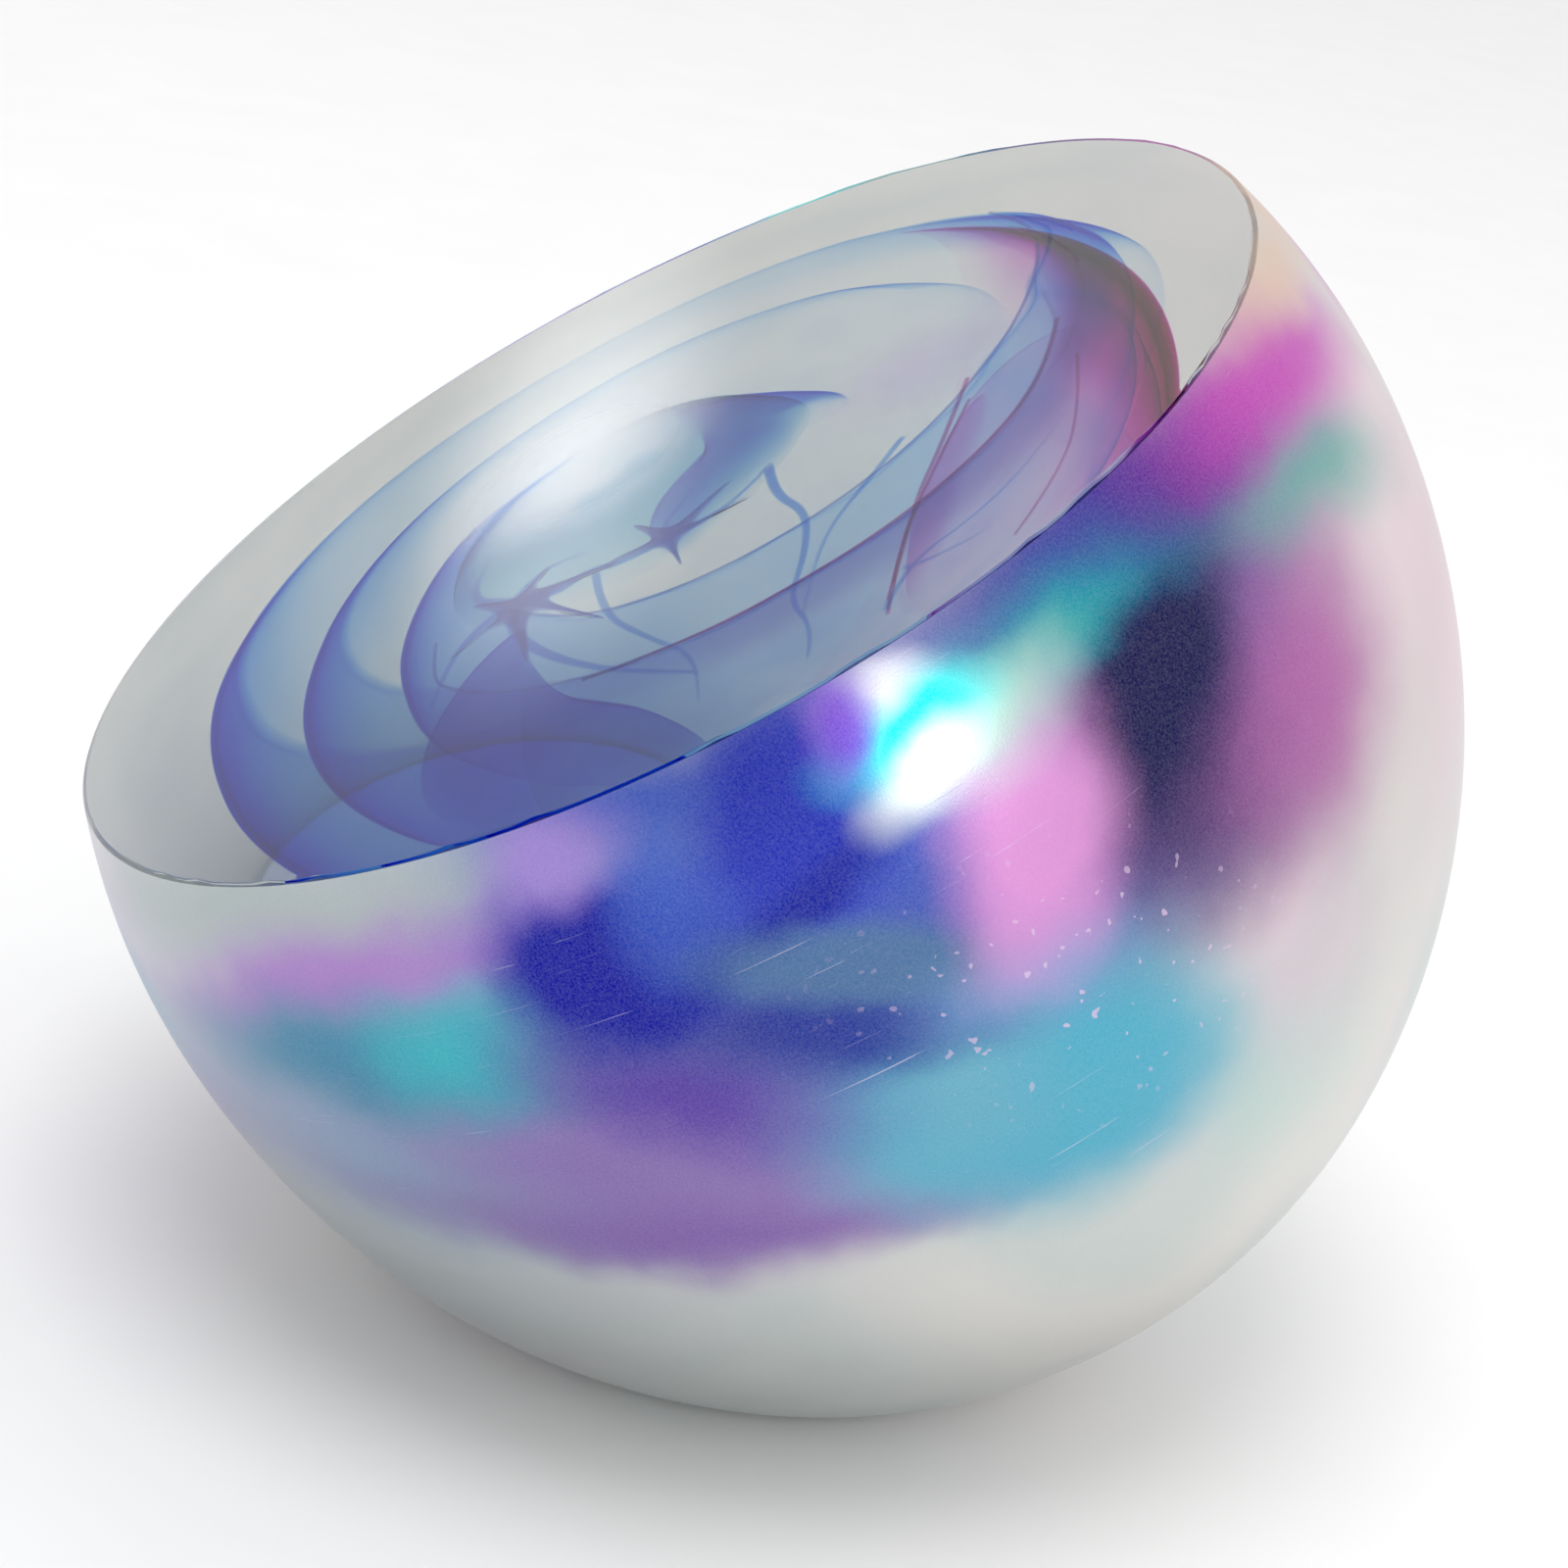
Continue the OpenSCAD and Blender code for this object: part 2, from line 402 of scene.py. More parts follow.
FRONT_PATCHES = [
    ("indigo ground, left", -24, 4, 18, 9, -9, 0.45, 0.85, (86, 108, 184)),
    ("indigo ground, front", 3, 4, 16, 11.5, -5, 0.40, 0.94, (56, 78, 172)),
    ("violet ground, right", 31, 7, 12, 9, 38, 0.45, 0.90, (78, 56, 142)),
    # Painted shade: the pearl on the left flank is painted darker and greyer.
    ("painted shade on grey pearl, left", -52, -6, 24, 15, 0, 0.70, 0.75, (176, 187, 190)),
    ("rosy pearl, right", 62, -4, 10, 14, 0, 0.85, 0.60, (236, 206, 218)),
    ("blue grey mist, left", -47, -1, 13, 5, -14, 0.85, 0.80, (126, 148, 184)),
    ("mint hem", 19, -16, 9, 5, -50, 0.85, 0.40, (170, 212, 204)),
    ("pink hem", 28, -11, 7, 5, -70, 0.85, 0.45, (222, 190, 208)),
    ("mauve field", -23, -4.5, 12, 6, -22, 0.50, 0.92, (138, 108, 176)),
    ("purple hem", -25, -9.2, 15, 2.2, -17, 0.75, 0.80, (126, 86, 168)),
    ("azure by the rim", -13, 10, 11.5, 6.5, -8, 0.22, 0.95, (60, 86, 186)),
    ("pearl by the rim", -47, 13.4, 16, 2.2, 0, 0.65, 0.90, (170, 180, 180)),
    ("mauve band", -44, 9.6, 12, 2.4, 3, 0.65, 0.90, (170, 124, 196)),
    ("teal band", -43, 5, 12, 3, -8, 0.60, 0.94, (60, 134, 166)),
    ("turquoise pool", -35, 5.2, 4.2, 2.8, -2, 0.75, 0.90, (56, 180, 190)),
    ("turquoise field", 3, -9, 10.4, 7.2, -30, 0.34, 0.96, (74, 172, 198)),
    ("turquoise mist", -2, -6, 4.8, 3.6, 87, 0.70, 0.75, (112, 174, 194)),
    ("violet glow", -19.5, -0.5, 7, 2.7, -35, 0.70, 0.92, (84, 56, 160)),
    ("navy fold", -7.5, -0.2, 7.4, 2.7, -26, 0.55, 0.94, (26, 46, 146)),
    ("cobalt block", -20.5, 6.8, 5.8, 4.5, -30, 0.24, 1.00, (2, 16, 152)),
    ("pale blue fold", -14.4, 9.6, 4.4, 2.2, 80, 0.60, 0.80, (58, 92, 190)),
    ("lilac by the rim", -21, 12.6, 3.2, 2.2, 20, 0.60, 0.92, (160, 132, 208)),
    ("blue wedge", -3.2, 10.3, 6.0, 4.2, 68, 0.32, 0.96, (30, 46, 176)),
    ("ink line", -6.5, 6, 6, 1.2, 17, 0.65, 0.80, (6, 26, 146)),
    ("grey blade", -4, 2.3, 7, 2.0, -26, 0.40, 0.92, (76, 114, 156)),
    ("pale lilac mist", 6.4, -3, 5, 2.3, -15, 0.75, 0.70, (124, 162, 206)),
    ("plum shade", 23.5, -1.5, 6.2, 4.8, 20, 0.65, 0.90, (90, 58, 120)),
    ("magenta bloom", 37.5, -0.6, 7, 5.6, 37, 0.70, 0.88, (180, 96, 166)),
    ("navy well", 25, 5.8, 8.2, 4.4, 48, 0.42, 1.00, (12, 10, 78)),
    ("violet rim", 28, 13.4, 11, 2.2, -9, 0.60, 0.92, (52, 42, 156)),
    ("teal under the rim", 20.5, 11.3, 7.6, 2.2, -3, 0.65, 0.92, (12, 126, 166)),
    ("sea green streak", 19, 10.2, 4, 1.5, -1, 0.65, 0.75, (40, 172, 168)),
    ("teal shoulder", 50, 6.6, 7.4, 2.6, -25, 0.70, 0.88, (92, 166, 160)),
    ("violet shoulder", 39, 12.3, 6, 2.4, -10, 0.65, 0.92, (80, 40, 142)),
    ("magenta shoulder", 54, 11, 9.4, 3.4, -15, 0.60, 0.96, (196, 70, 182)),
    ("apricot shoulder", 66, 13.3, 7.4, 2.2, -10, 0.70, 0.80, (222, 190, 166)),
    ("pink bloom", 11.3, 3.2, 6.6, 4.2, 57, 0.42, 0.97, (222, 150, 214)),
    # Painted highlight: the cream glow and the white glints above and below it paint pale light round the key light's
    # real highlight on the cyan flare.
    ("cream glow", 12.6, 9.2, 3.8, 2.2, 4, 0.75, 0.85, (180, 226, 204)),
    ("cyan flare", 7.6, 10.8, 4, 2.1, -3, 0.50, 1.00, (0, 232, 232)),
    ("white glint above", 6.8, 13.2, 2.4, 1.1, -1, 0.70, 0.80, (236, 232, 244)),
    ("white glint below", 6.8, 8.7, 3.0, 1.3, 8, 0.70, 0.85, (240, 246, 236)),
    ("violet glint", 2.8, 12.6, 2.4, 1.4, 64, 0.60, 0.90, (118, 60, 204)),
]

# Round the back the same colours run the other way, slipped sideways and downwards as they go.
PATCH_DEPTH = 14
FOLD_TURN = -16
SLIP = (0.0, 0.22, -0.10)
SIDE_PATCHES = [
    ("lilac mist, side", -96, 2, 22, 9, 8, 0.75, 0.70, (168, 158, 206)),
    ("mauve side", -84, -2, 15, 4, 14, 0.60, 0.85, (160, 120, 196)),
    ("teal side", -92, 6, 13, 3.4, -8, 0.60, 0.88, (82, 160, 180)),
    ("violet side", -124, -1, 12, 4.6, -18, 0.55, 0.88, (104, 78, 180)),
    ("blue side", -118, 8, 12, 3.4, -10, 0.50, 0.90, (46, 74, 182)),
    ("pink side", -108, 3, 6, 3.2, 40, 0.55, 0.85, (220, 158, 212)),
]


def patch_frame(turn, height, tilt):
    """Middle of a patch on the glass and the turn of its own axes, from the making axis."""
    best = min((abs(egg_point(0, math.radians(a))[1] - height), a) for a in range(-85, 40))
    slope = math.radians(best[1])
    r, z = egg_point(0, slope)
    phi = math.radians(turn)
    out = Vector((math.cos(phi) * math.cos(slope), math.sin(phi) * math.cos(slope), math.sin(slope)))
    along = Vector((-math.sin(phi), math.cos(phi), 0))
    up = out.cross(along)
    spin = Matrix.Rotation(math.radians(tilt), 3, out)
    axes = Matrix((spin @ along, spin @ up, out)).transposed()
    return Vector((r * math.cos(phi), r * math.sin(phi), height)), axes.to_euler()


def lustre_material():
    """Satin mother-of-pearl film: coloured where veils lie close behind, pale elsewhere."""
    mat, n, end = new_material("Satin lustre")
    place = group_node(n, "Making axis").outputs[0]
    drift = n.noise(place, 0.11, 3, 0.55)
    off = n.add("ShaderNodeVectorMath", {0: drift.outputs["Color"], 1: (0.5, 0.5, 0.5)}, operation="SUBTRACT")
    off = n.add("ShaderNodeVectorMath", {0: off.outputs[0], "Scale": 4.5}, operation="SCALE")
    warped = n.add("ShaderNodeVectorMath", {0: place, 1: off.outputs[0]}, operation="ADD").outputs[0]
    front = Vector((math.cos(math.radians(FOLD_TURN)), math.sin(math.radians(FOLD_TURN)), 0))
    ahead = n.add("ShaderNodeVectorMath", {0: warped, 1: front}, operation="DOT_PRODUCT").outputs["Value"]
    behind = n.math("MAXIMUM", n.math("MULTIPLY", ahead, -1.0), 0.0)
    step = n.add("ShaderNodeVectorMath", {0: 2 * front + Vector(SLIP), "Scale": behind}, operation="SCALE")
    warped = n.add("ShaderNodeVectorMath", {0: warped, 1: step.outputs[0]}, operation="ADD").outputs[0]

    shimmer = n.noise(place, 0.05, 2, 0.5, 0.4)
    base = n.mix(n.ramp(shimmer.outputs[0], 0.35, 0.65), colours().pearl, linear((200, 207, 204)))
    blush = n.ramp(n.noise(place, 0.07, 1).outputs[0], 0.5, 0.72)
    base = n.mix(n.math("MULTIPLY", blush, 0.35), base, linear((226, 206, 214)))
    for name, turn, height, length, width, tilt, soft, strength, rgb in SIDE_PATCHES + FRONT_PATCHES:
        middle, axes = patch_frame(turn, height, tilt)
        mask = group_node(
            n,
            "Lustre patch",
            {
                "Place": warped,
                "Middle": middle,
                "Turn": axes,
                "Reach": (length, width, PATCH_DEPTH),
                "Softness": min(0.9, 1.2 * soft + 0.06),
            },
        ).outputs[0]
        base = n.mix(n.math("MULTIPLY", mask, strength), base, linear(rgb))

    grain = n.noise(place, 9, 2, 0.6)
    base = n.mix(n.ramp(grain.outputs[0], 0.3, 0.7, False, 0.0, 0.06), base, (1, 1, 1))
    scratches = group_node(n, "Handling scratches", {"Place": place}).outputs[0]
    base = n.mix(n.math("MULTIPLY", scratches, 0.5), base, linear((214, 208, 232)))

    flecks = n.ramp(n.noise(place, 1.5, 1, 0.5).outputs[0], 0.69, 0.72)
    middle, axes = patch_frame(10, -5, -30)
    scuffed = group_node(
        n,
        "Lustre patch",
        {"Place": warped, "Middle": middle, "Turn": axes, "Reach": (10, 6, PATCH_DEPTH), "Softness": 0.6},
    ).outputs[0]
    base = n.mix(n.math("MULTIPLY", n.math("MULTIPLY", flecks, scuffed), 0.7), base, linear((222, 196, 226)))

    bump = n.add("ShaderNodeBump", {"Height": grain.outputs[0], "Strength": 0.12, "Distance": 0.00004})
    bump2 = n.add(
        "ShaderNodeBump", {"Height": scratches, "Strength": 0.3, "Distance": 0.00005, "Normal": bump.outputs[0]}
    )
    satin = n.add("ShaderNodeBsdfPrincipled", {"Base Color": base, "Normal": bump2.outputs[0]})
    satin.inputs["Metallic"].default_value = 1.0
    satin.inputs["Roughness"].default_value = 0.33
    satin.inputs["Specular IOR Level"].default_value = 0.35
    through = n.add("ShaderNodeBsdfTranslucent", {"Color": base})
    outside = n.add("ShaderNodeMixShader", {0: 0.05, 1: satin.outputs[0], 2: through.outputs[0]})

    cloud = n.noise(place, 0.06, 2)
    milk = n.mix(n.ramp(cloud.outputs[0], 0.35, 0.7), colours().pearl_inside, linear((220, 224, 216)))
    matt = n.add("ShaderNodeBsdfDiffuse", {"Color": milk, "Roughness": 1.0})
    glow = n.add("ShaderNodeBsdfTranslucent", {"Color": milk})
    inside = n.add("ShaderNodeMixShader", {0: 0.5, 1: matt.outputs[0], 2: glow.outputs[0]})
    face = n.add("ShaderNodeNewGeometry")
    both = n.add("ShaderNodeMixShader", {0: face.outputs["Backfacing"], 1: outside.outputs[0], 2: inside.outputs[0]})
    n.put(end.inputs["Surface"], both.outputs[0])
    return mat


def bonded_material():
    """A face fused to the glass beside it, so nothing is seen of it."""
    mat, n, end = new_material("Fused face")
    clear = n.add("ShaderNodeBsdfTransparent", {"Color": (1, 1, 1)})
    n.put(end.inputs["Surface"], clear.outputs[0])
    return mat


def clear_glass_material():
    """Polished facet with faint wheel marks and specks."""
    mat, n, end = new_material("Polished glass")
    place = group_node(n, "Making axis").outputs[0]
    specks = n.noise(place, 3.1, 2)
    marks = n.noise(place, 0.7, 4, 0.6)
    bump = n.add("ShaderNodeBump", {"Height": marks.outputs[0], "Strength": 0.03, "Distance": 0.00002})
    glass = n.add(
        "ShaderNodeBsdfPrincipled",
        {"Roughness": n.ramp(specks.outputs[0], 0.70, 0.76, False, 0.02, 0.14), "Normal": bump.outputs[0]},
    )
    glass.inputs["Base Color"].default_value = (1, 1, 1, 1)
    glass.inputs["Transmission Weight"].default_value = 1.0
    glass.inputs["IOR"].default_value = 1.5
    n.put(end.inputs["Surface"], glass.outputs[0])
    return mat


def ground_glass_material():
    """Fine ground base."""
    mat, n, end = new_material("Ground glass")
    place = group_node(n, "Making axis").outputs[0]
    grain = n.noise(place, 6, 3, 0.7)
    colour = n.mix(grain.outputs[0], linear((186, 190, 190)), linear((214, 216, 216)))
    bump = n.add("ShaderNodeBump", {"Height": grain.outputs[0], "Strength": 0.3, "Distance": 0.00005})
    matt = n.add("ShaderNodeBsdfPrincipled", {"Base Color": colour, "Roughness": 0.6, "Normal": bump.outputs[0]})
    n.put(end.inputs["Surface"], matt.outputs[0])
    return mat


def veil_material(name, through, milk=None, share=0.0, bloom=None):
    """Coloured glass that tints by its depth: through is the light let through by 1 mm. Given
    milk, a sheet also scatters light of that colour, most round its bloom, a place and a width in
    mm; that scatter is painted highlight, a soft glow laid under the facet."""
    mat, n, end = new_material(name)
    place = group_node(n, "Making axis").outputs[0]
    tint = (1, 1, 1)
    if min(through) < 0.99:
        taken = [-math.log(max(c, 0.002)) / MM for c in through]
        density = max(taken)
        depth = n.add("ShaderNodeVolumeAbsorption")
        depth.inputs["Color"].default_value = (*[1 - t / density for t in taken], 1)
        depth.inputs["Density"].default_value = density
        n.put(end.inputs["Volume"], depth.outputs[0])
        wisps = n.noise(place, 0.12, 3, 0.5, 0.3)
        tint = n.mix(n.ramp(wisps.outputs[0], 0.3, 0.7), (1, 1, 1), [0.965 + 0.035 * c for c in through])
    clear = n.add("ShaderNodeBsdfTransparent", {"Color": tint})
    if milk is None:
        n.put(end.inputs["Surface"], clear.outputs[0])
        return mat
    # Painted highlight: the scatter below paints a soft glow round the bloom.
    middle, width = bloom
    away = n.add("ShaderNodeVectorMath", {0: place, 1: middle}, operation="DISTANCE").outputs["Value"]
    near = n.ramp(away, width, 0.0)
    cloud = n.ramp(n.noise(place, 0.15, 1).outputs[0], 0.25, 0.7, True, 0.8, 1.0)
    scatter = n.math("MULTIPLY", n.math("MULTIPLY", near, cloud), share)
    lit = n.add("ShaderNodeBsdfDiffuse", {"Color": linear(milk), "Roughness": 1.0})
    glow = n.add("ShaderNodeBsdfTranslucent", {"Color": linear(milk)})
    body = n.add("ShaderNodeMixShader", {0: 0.25, 1: lit.outputs[0], 2: glow.outputs[0]})
    mixed = n.add("ShaderNodeMixShader", {0: scatter, 1: clear.outputs[0], 2: body.outputs[0]})
    n.put(end.inputs["Surface"], mixed.outputs[0])
    return mat


MATERIALS = {}


def materials():
    if not MATERIALS:
        build_groups()
        MATERIALS["lustre"] = lustre_material()
        MATERIALS["bonded"] = bonded_material()
        MATERIALS["polished"] = clear_glass_material()
        MATERIALS["ground"] = ground_glass_material()
        MATERIALS["blue"] = veil_material("Blue veil glass", colours().blue)
        MATERIALS["rose"] = veil_material("Rose veil glass", colours().rose)
        MATERIALS["plum"] = veil_material("Plum veil glass", colours().plum)
        # Painted highlight: the milk and lilac sheets scatter white and lilac light under the facet where it shows soft
        # glows, and the aqua's milky bloom adds a painted glow to its real aqua tint.
        MATERIALS["aqua"] = veil_material(
            "Aqua veil glass", colours().aqua, (240, 248, 252), 0.12, (on_facet(-3.5, 8, 3), 12)
        )
        MATERIALS["milk"] = veil_material(
            "Painted white glow glass", colours().milk, (252, 255, 255), 0.9, (on_facet(-3.5, 8.5, 1), 10.5)
        )
        MATERIALS["lilac"] = veil_material(
            "Painted lilac glow glass", colours().lilac, (236, 220, 252), 0.28, (on_facet(15.6, -1, 5), 7.5)
        )
        MATERIALS["navy"] = veil_material("Navy veil glass", colours().navy)
        MATERIALS["ink"] = veil_material("Blue thread glass", colours().ink)
        MATERIALS["garnet"] = veil_material("Rose thread glass", colours().garnet)
    return MATERIALS


# --------------------------------------------------------------------------------------
# Pieces
# --------------------------------------------------------------------------------------


class GLASS_OT_body(bpy.types.Operator):
    """Model the solid clear glass with its facet and ground base."""

    bl_idname = "paperweight.body"
    bl_label = "Clear glass body"

    def execute(self, context):
        s = sizes()
        ob = add_egg("glass_body", s.skin)
        up = Vector((0, 0, 1))
        saw(ob, Vector((0, 0, s.facet_height - s.arris * ARRIS_FALL)), up, True)
        ease(ob, up, s.arris, s.arris * ARRIS_FALL)
        point, out = base_plane()
        saw(ob, point - out * s.base_bevel * BEVEL_FALL, out, True)
        ease(ob, out, s.base_bevel, s.base_bevel * BEVEL_FALL)
        mats = materials()
        for m in ("bonded", "polished", "ground"):
            ob.data.materials.append(mats[m])
        for f in ob.data.polygons:
            if f.normal.z > 0.6 and f.center.z > s.facet_height - s.arris:
                f.material_index = 1
            elif f.normal.dot(out) > 0.94 and (f.center - point).dot(out) > -s.base_bevel * BEVEL_FALL:
                f.material_index = 2
        finish_piece(
            ob, ["outer_casing", "second_gather", "third_gather", "fourth_gather", "heart_glass"]
        )
        return {"FINISHED"}


class GLASS_OT_skin(bpy.types.Operator):
    """Model the thin lustre skin on the curved outside."""

    bl_idname = "paperweight.skin"
    bl_label = "Lustre skin"

    def execute(self, context):
        s = sizes()
        outer, inner = add_egg("lustre_film", 0), add_egg("film_inside", s.skin - 0.02)
        point, out = base_plane()
        for ob in (outer, inner):
            saw(ob, Vector((0, 0, s.facet_height - s.arris * ARRIS_FALL)), Vector((0, 0, 1)), False)
            saw(ob, point - out * s.base_bevel * BEVEL_FALL, out, False)
        mats = materials()
        for m in ("lustre", "bonded"):
            outer.data.materials.append(mats[m])
            inner.data.materials.append(mats[m])
        for f in inner.data.polygons:
            f.material_index = 1
        inner.data.flip_normals()
        deselect()
        outer.select_set(True)
        inner.select_set(True)
        bpy.context.view_layer.objects.active = outer
        bpy.ops.object.join()
        bpy.ops.object.mode_set(mode="EDIT")
        bpy.ops.mesh.select_mode(type="EDGE")
        for low, high in ((s.facet_height - 1, s.facet_height + 1), (-200, 0)):
            bpy.ops.mesh.select_all(action="DESELECT")
            bpy.ops.object.mode_set(mode="OBJECT")
            bm = bmesh.new()
            bm.from_mesh(outer.data)
            for e in bm.edges:
                z = (e.verts[0].co.z + e.verts[1].co.z) / 2
                e.select_set(e.is_boundary and low < z < high)
            bm.to_mesh(outer.data)
            bm.free()
            bpy.ops.object.mode_set(mode="EDIT")
            bpy.ops.mesh.bridge_edge_loops()
        bpy.ops.object.mode_set(mode="OBJECT")
        finish_piece(outer, ["lustre_skin"])
        return {"FINISHED"}


# A veil's course: at each turn round the making axis, the radius at which the facet cuts
# it and its thickness, in mm. Turns are in degrees and run on past a full turn.
def smooth_between(stops, turn):
    """Values at a turn, from stops, eased between them."""
    if turn <= stops[0][0]:
        return stops[0][1:]
    for a, b in zip(stops, stops[1:]):
        if turn <= b[0]:
            t = (turn - a[0]) / (b[0] - a[0])
            t = t * t * (3 - 2 * t)
            return tuple(x + (y - x) * t for x, y in zip(a[1:], b[1:]))
    return stops[-1][1:]


def thinning(t, reach):
    """How thick a veil is: a rolled lip at the facet, full as far as its reach, then a trace."""
    fade = min(1, max(0, (t - reach) / (0.06 + reach)))
    lip = 1.3 * math.exp(-((t / 0.007) ** 2))
    return lip + 1 - 0.95 * fade * fade * (3 - 2 * fade)


def roll_veil(name, stops, material, low=-84, waver=0.35, seed=0.0, across=110, step=2.0):
    """A thin closed sheet of glass that follows the egg, rolled round the axis by its stops."""
    first, last = stops[0][0], stops[-1][0]
    count = max(8, int((last - first) / step))
    rows = []
    for i in range(count + 1):
        turn = first + (last - first) * i / count
        radius, thick, reach = smooth_between(stops, turn)
        inset = inset_at_facet(radius)
        phi = math.radians(turn)
        begin = facet_turn(inset, 0.06)
        columns = []
        for j in range(across + 1):
            t = (j / across) ** 1.6
            slope = begin + (math.radians(low) - begin) * t
            sway = waver * noise.noise(Vector((math.cos(phi) * 2.2, math.sin(phi) * 2.2, t * 2.6 + seed)))
            taper = thinning(t, reach)
            half = max(0.012, thick * taper / 2)
            pair = []
            for side in (-1, 1):
                r, z = egg_point(inset + sway * min(1, t * 8) + side * half, slope)
                pair.append((r * math.cos(phi), r * math.sin(phi), min(z, sizes().facet_height - 0.05)))
            columns.append(pair)
        rows.append(columns)
    bm = bmesh.new()
    verts = [[[bm.verts.new(p) for p in pair] for pair in columns] for columns in rows]
    n, m = count, across
    for i in range(n):
        for j in range(m):
            a, b, c, d = verts[i][j], verts[i + 1][j], verts[i + 1][j + 1], verts[i][j + 1]
            bm.faces.new((a[0], d[0], c[0], b[0]))
            bm.faces.new((a[1], b[1], c[1], d[1]))
    for i in range(n):
        a, b = verts[i][0], verts[i + 1][0]
        bm.faces.new((a[0], b[0], b[1], a[1]))
        a, b = verts[i][m], verts[i + 1][m]
        bm.faces.new((a[1], b[1], b[0], a[0]))
    for j in range(m):
        a, b = verts[0][j], verts[0][j + 1]
        bm.faces.new((a[1], b[1], b[0], a[0]))
        a, b = verts[n][j], verts[n][j + 1]
        bm.faces.new((a[0], b[0], b[1], a[1]))
    return sheet_object(name, bm, material)


NEAR = 89.4  # turn of the facet's right-hand side


def stops_from(stops, reach=0.24):
    """Stops of a veil: turn from the facet's right, radius at the facet, thickness, and how far
    down it stays thick, as a share of the way to the bottom."""
    return [(NEAR + s[0], s[1], s[2], s[3] if len(s) > 3 else reach) for s in stops]


class GLASS_OT_outer_veil(bpy.types.Operator):
    """Roll the outer veil: rose on the right, faint behind, blue on the left."""

    bl_idname = "paperweight.outer_veil"
    bl_label = "Outer veil"

    def execute(self, context):
        blue = stops_from(
            [(4, 26.9, 0.05, 0.10), (22, 26.6, 0.30, 0.12), (45, 26.2, 0.09, 0.12), (90, 25.3, 0.04, 0.08),
             (130, 25.9, 0.12), (160, 25.8, 0.36), (185, 25.0, 0.46), (215, 24.8, 0.52), (238, 24.6, 0.46),
             (250, 24.2, 0.05)]
        )
        sheet = roll_veil("outer_roll_blue", blue, "blue", seed=1.3)
        finish_piece(sheet, ["outer_veil_blue", "outer_veil_violet"])
        rose = stops_from(
            [(-40, 25.0, 0.02, 0.3), (-28, 24.9, 0.60, 0.34), (-8, 24.8, 1.0, 0.34), (14, 25.0, 0.8, 0.3),
             (27, 25.3, 0.25), (40, 25.6, 0.02)]
        )
        finish_piece(roll_veil("outer_roll_rose", rose, "rose", seed=4.1), ["outer_veil_rose"])
        return {"FINISHED"}


class GLASS_OT_middle_veil(bpy.types.Operator):
    """Roll the middle veil, blue on the far left and plum on the near side."""

    bl_idname = "paperweight.middle_veil"
    bl_label = "Middle veil"

    def execute(self, context):
        blue = stops_from(
            [(20, 19.0, 0.03, 0.08), (40, 19.2, 0.05, 0.08), (65, 18.8, 0.04, 0.08), (110, 18.2, 0.05, 0.10),
             (145, 18.4, 0.18), (180, 18.9, 0.38), (222, 19.4, 0.42), (247, 22.0, 0.40, 0.20),
             (275, 23.6, 0.34, 0.10), (296, 24.6, 0.22, 0.06), (320, 25.3, 0.03, 0.05)]
        )
        sheet = roll_veil("middle_roll_blue", blue, "blue", seed=7.7)
        finish_piece(sheet, ["middle_veil_blue", "middle_veil_lilac"])
        plum = stops_from(
            [(240, 21.0, 0.02, 0.01), (256, 22.5, 0.10, 0.02), (275, 23.4, 0.22, 0.02), (296, 24.4, 0.22, 0.02),
             (312, 24.7, 0.20, 0.02), (332, 24.2, 0.08, 0.02), (350, 23.4, 0.02, 0.02)]
        )
        finish_piece(roll_veil("inner_roll_plum", plum, "plum", seed=9.2), ["inner_veil_plum"])
        return {"FINISHED"}


class GLASS_OT_inner_veil(bpy.types.Operator):
    """Roll the inner veil out from the heart to the outer veil on the right."""

    bl_idname = "paperweight.inner_veil"
    bl_label = "Inner veil"

    def execute(self, context):
        blue = stops_from(
            [(110, 9.6, 0.03), (140, 10.2, 0.22), (180, 11.0, 0.36), (205, 11.8, 0.42), (227, 13.0, 0.44, 0.22),
             (252, 15.4, 0.34, 0.12), (277, 17.1, 0.28, 0.08), (305, 18.7, 0.30, 0.08), (330, 20.2, 0.34, 0.08),
             (352, 22.8, 0.36, 0.08), (372, 26.2, 0.34, 0.08), (384, 27.0, 0.10, 0.08)]
        )
        finish_piece(roll_veil("inner_roll_blue", blue, "blue", seed=12.4), ["inner_veil_blue"])
        return {"FINISHED"}


def on_facet(right, away, depth=0.0):
    """A place under the facet, from its middle to the near side's right and away from the near side."""
    phi = math.radians(NEAR)
    return Vector(
        (
            right * math.cos(phi) - away * math.sin(phi),
            right * math.sin(phi) + away * math.cos(phi),
            sizes().facet_height - depth,
        )
    )


def round_curve(points, count):
    """Points spaced along a closed smooth curve through the given points."""
    made = []
    n = len(points)
    for i in range(count):
        u = i / count * n
        k, t = int(u), u - int(u)
        p = [Vector(points[(k + o) % n]) for o in (-1, 0, 1, 2)]
        made.append(
            0.5
            * (
                2 * p[1]
                + (p[2] - p[0]) * t
                + (2 * p[0] - 5 * p[1] + 4 * p[2] - p[3]) * t * t
                + (3 * p[1] - p[0] - 3 * p[2] + p[3]) * t ** 3
            )
        )
    return made


